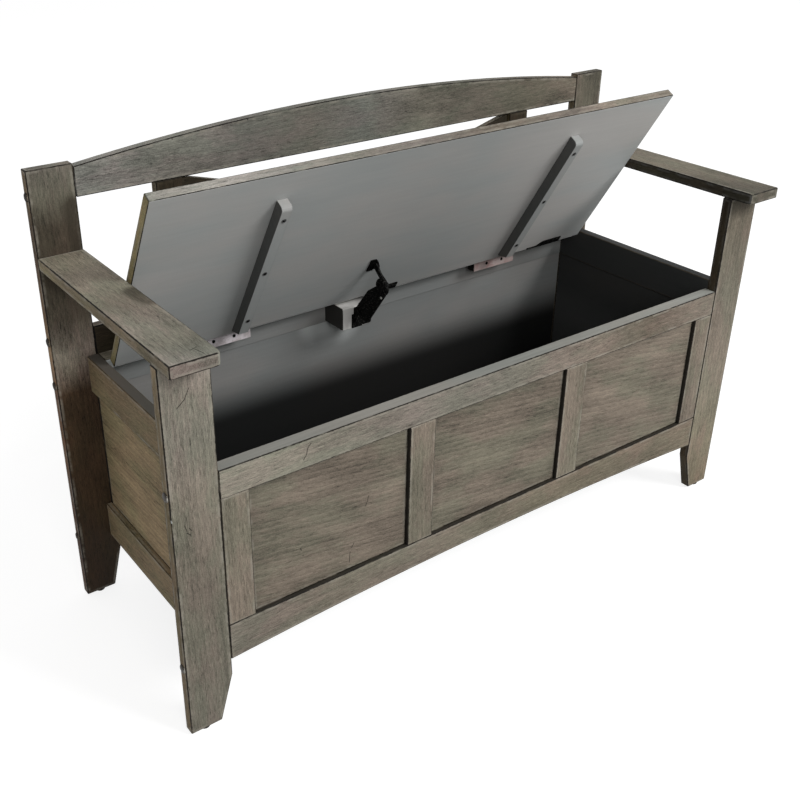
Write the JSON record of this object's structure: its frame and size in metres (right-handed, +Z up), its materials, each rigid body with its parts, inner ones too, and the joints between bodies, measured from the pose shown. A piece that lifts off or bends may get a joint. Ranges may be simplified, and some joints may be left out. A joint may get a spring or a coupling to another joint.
{
  "type": "storage bench",
  "caption": "Entryway storage bench with board legs, flat arms, an arched back with crossed braces, a framed panelled chest and a hinged lid held open by a folding stay.",
  "frame": {"origin": "centre of the bench's footprint at floor level, under the glides", "axes": "+X to the right as seen from the front, +Y towards the back, +Z up"},
  "size_m": [1.2764, 0.4782, 0.8537],
  "materials": {
    "weathered_wood": "weathered grey-brown stain with a dark glaze in the joints, satin",
    "grey_wood": "flat mid grey paint on wood",
    "zinc_steel": "bright zinc plate",
    "black_plastic": "black, slightly shiny",
    "bolt_cap": "small domed caps, satin grey",
    "glide": "dark plastic"
  },
  "bodies": {
    "bench": {"back_low_rail": "weathered_wood", "back_panel": "grey_wood", "bottom_panel": "grey_wood", "crest_rail": "weathered_wood", "falling_brace": "weathered_wood", "front_low_rail": "weathered_wood", "front_top_rail": "weathered_wood", "left_arm": "weathered_wood", "left_back_glide": "glide", "left_back_post": "weathered_wood", "left_back_slat": "weathered_wood", "left_end_stile": "weathered_wood", "left_front_glide": "glide", "left_front_leg": "weathered_wood", "left_front_panel": "weathered_wood", "left_hinge_fixed_leaf": "zinc_steel", "left_leg_bolt_1": "bolt_cap", "left_leg_bolt_2": "bolt_cap", "left_middle_stile": "weathered_wood", "left_post_bolt_1": "bolt_cap", "left_post_bolt_2": "bolt_cap", "left_post_bolt_3": "bolt_cap", "left_post_bolt_4": "bolt_cap", "left_side_low_rail": "weathered_wood", "left_side_panel": "weathered_wood", "left_side_top_rail": "weathered_wood", "middle_front_panel": "weathered_wood", "right_arm": "weathered_wood", "right_back_glide": "glide", "right_back_post": "weathered_wood", "right_back_slat": "weathered_wood", "right_end_stile": "weathered_wood", "right_front_glide": "glide", "right_front_leg": "weathered_wood", "right_front_panel": "weathered_wood", "right_hinge_fixed_leaf": "zinc_steel", "right_leg_bolt_1": "bolt_cap", "right_leg_bolt_2": "bolt_cap", "right_middle_stile": "weathered_wood", "right_post_bolt_1": "bolt_cap", "right_post_bolt_2": "bolt_cap", "right_post_bolt_3": "bolt_cap", "right_post_bolt_4": "bolt_cap", "right_side_low_rail": "weathered_wood", "right_side_panel": "weathered_wood", "right_side_top_rail": "weathered_wood", "rising_brace": "weathered_wood", "seat_rail": "weathered_wood", "seat_strip": "weathered_wood", "stay_block": "grey_wood", "stay_bracket": "black_plastic"},
    "lid": {"lid_panel": "weathered_wood", "left_lid_batten": "grey_wood", "right_lid_batten": "grey_wood", "left_hinge_lid_leaf": "zinc_steel", "right_hinge_lid_leaf": "zinc_steel", "lid_strap": "black_plastic", "stay_foot": "black_plastic"},
    "stay_arm": {"stay_arm": "black_plastic"},
    "stay_link": {"stay_link": "black_plastic"}
  },
  "joints": [
    {"name": "lid_hinge", "type": "hinge", "parent": "bench", "child": "lid", "pos_m": [0, 0.1854, 0.4935], "axis": [-1, 0, 0], "range_deg": [-59.2, 25.8]},
    {"name": "stay_arm_pivot", "type": "hinge", "parent": "bench", "child": "stay_arm", "pos_m": [0, 0.1519, 0.4655], "axis": [-1, 0, 0], "range_deg": [-59.2, 25.8]},
    {"name": "stay_link_pivot", "type": "hinge", "parent": "stay_arm", "child": "stay_link", "pos_m": [0, 0.07131, 0.54249], "axis": [-1, 0, 0], "range_deg": [-25.8, 59.2]}
  ],
  "couplings": [
    {"joint": "stay_arm_pivot", "follows": "lid_hinge", "ratio": 1},
    {"joint": "stay_link_pivot", "follows": "lid_hinge", "ratio": -1}
  ]
}
